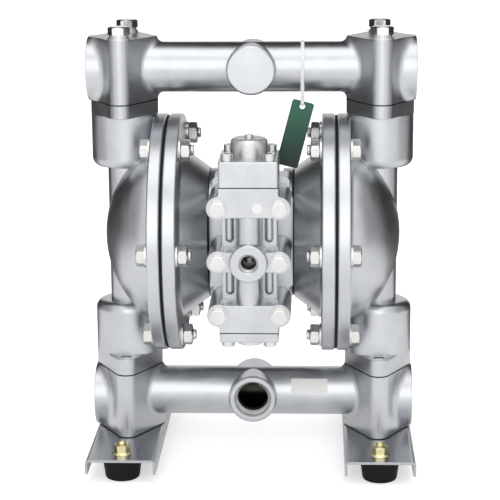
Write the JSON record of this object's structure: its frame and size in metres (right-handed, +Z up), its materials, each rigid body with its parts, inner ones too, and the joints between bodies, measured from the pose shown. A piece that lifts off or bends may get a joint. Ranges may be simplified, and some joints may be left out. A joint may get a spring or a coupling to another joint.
{
  "type": "air operated double diaphragm pump",
  "caption": "Metal air operated diaphragm pump with two bolted chambers, ball check valves, upper and lower manifolds, a front air valve and channel feet.",
  "frame": {"origin": "on the floor under the rubber feet, midway between the end faces of the manifolds and in the plane of the manifold axes, within 2 mm of the middle of the depth", "axes": "+Z up, -Y to the front where the air valve and the liquid inlet face, X along the chamber axis"},
  "size_m": [0.29, 0.2179, 0.3938],
  "materials": {
    "cast_aluminium": "fine shot blasted casting, satin",
    "stainless_steel": "bright rolled and turned stainless steel",
    "channel_steel": "satin sheet steel",
    "yellow_zinc": "yellow passivated zinc plate",
    "black_rubber": "matt moulded rubber",
    "bronze": "turned bearing bronze",
    "white_plastic": "moulded natural plastic",
    "green_tag": "printed card under a matt film"
  },
  "bodies": {
    "pump_body": {"outlet_manifold": "cast_aluminium", "inlet_manifold": "cast_aluminium", "liquid_chamber_left": "cast_aluminium", "liquid_chamber_right": "cast_aluminium", "air_chamber_left": "cast_aluminium", "air_chamber_right": "cast_aluminium", "diaphragm_left": "black_rubber", "diaphragm_right": "black_rubber", "centre_body": "cast_aluminium", "valve_body": "cast_aluminium", "valve_body_gasket": "black_rubber", "valve_top_cover": "cast_aluminium", "top_cover_gasket": "black_rubber", "reset_cap": "cast_aluminium", "reset_spring": "stainless_steel", "valve_bottom_cover": "cast_aluminium", "bottom_cover_gasket": "black_rubber", "bottom_plug": "stainless_steel", "valve_sleeve": "stainless_steel", "shaft_bushings": "bronze", "shaft_seals": "black_rubber", "ball_seats": "white_plastic", "seat_seals": "black_rubber", "ball_guides": "white_plastic", "air_chamber_gaskets": "black_rubber", "air_chamber_screws": "stainless_steel", "upper_manifold_bolts": "stainless_steel", "lower_manifold_bolts": "stainless_steel", "manifold_spring_washers": "stainless_steel", "manifold_flat_washers": "stainless_steel", "flange_bolts": "stainless_steel", "flange_nuts": "stainless_steel", "flange_washers": "stainless_steel", "valve_bolts": "stainless_steel", "valve_bolt_washers": "stainless_steel", "top_cover_screws": "stainless_steel", "bottom_cover_screws": "stainless_steel", "base_channel_left": "channel_steel", "base_channel_right": "channel_steel", "rubber_feet": "black_rubber", "foot_studs": "yellow_zinc", "foot_nuts": "yellow_zinc", "tag_tie": "white_plastic"},
    "diaphragm_shaft": {"centre_shaft": "stainless_steel", "inner_disc_left": "stainless_steel", "inner_disc_right": "stainless_steel", "outer_disc_left": "stainless_steel", "outer_disc_right": "stainless_steel"},
    "spool": {"valve_spool": "cast_aluminium", "spool_rings": "black_rubber"},
    "button": {"reset_button": "stainless_steel"},
    "pin_left": {"pilot_pin_left": "stainless_steel"},
    "pin_right": {"pilot_pin_right": "stainless_steel"},
    "inlet_ball_l": {"inlet_ball_left": "black_rubber"},
    "inlet_ball_r": {"inlet_ball_right": "black_rubber"},
    "outlet_ball_l": {"outlet_ball_left": "black_rubber"},
    "outlet_ball_r": {"outlet_ball_right": "black_rubber"},
    "tag": {"hang_tag": "green_tag"}
  },
  "joints": [
    {"name": "shaft_stroke", "type": "slide", "parent": "pump_body", "child": "diaphragm_shaft", "axis": [1, 0, 0], "range_m": [-0.011, 0.011], "deforming": ["diaphragm_left", "diaphragm_right"]},
    {"name": "spool_slide", "type": "slide", "parent": "pump_body", "child": "spool", "axis": [0, 0, 1], "range_m": [-0.008, 0.008]},
    {"name": "button_press", "type": "slide", "parent": "pump_body", "child": "button", "axis": [0, 0, 1], "range_m": [-0.0025, 0], "stiffness_N_per_m": 400, "springref_m": 0.002, "deforming": ["reset_spring"]},
    {"name": "pin_right_slide", "type": "slide", "parent": "pump_body", "child": "pin_right", "axis": [1, 0, 0], "range_m": [0, 0.003], "stiffness_N_per_m": 400, "springref_m": 0.005},
    {"name": "pin_left_slide", "type": "slide", "parent": "pump_body", "child": "pin_left", "axis": [1, 0, 0], "range_m": [-0.003, 0], "stiffness_N_per_m": 400, "springref_m": -0.005},
    {"name": "inlet_ball_left_lift", "type": "slide", "parent": "pump_body", "child": "inlet_ball_l", "axis": [0, 0, 1], "range_m": [0, 0.007]},
    {"name": "inlet_ball_right_lift", "type": "slide", "parent": "pump_body", "child": "inlet_ball_r", "axis": [0, 0, 1], "range_m": [0, 0.007]},
    {"name": "outlet_ball_left_lift", "type": "slide", "parent": "pump_body", "child": "outlet_ball_l", "axis": [0, 0, 1], "range_m": [0, 0.007]},
    {"name": "outlet_ball_right_lift", "type": "slide", "parent": "pump_body", "child": "outlet_ball_r", "axis": [0, 0, 1], "range_m": [0, 0.007]},
    {"name": "tag_swing", "type": "hinge", "parent": "pump_body", "child": "tag", "pos_m": [0.045, -0.022, 0.32253], "axis": [0, 1, 0], "range_deg": [0, 45]}
  ]
}
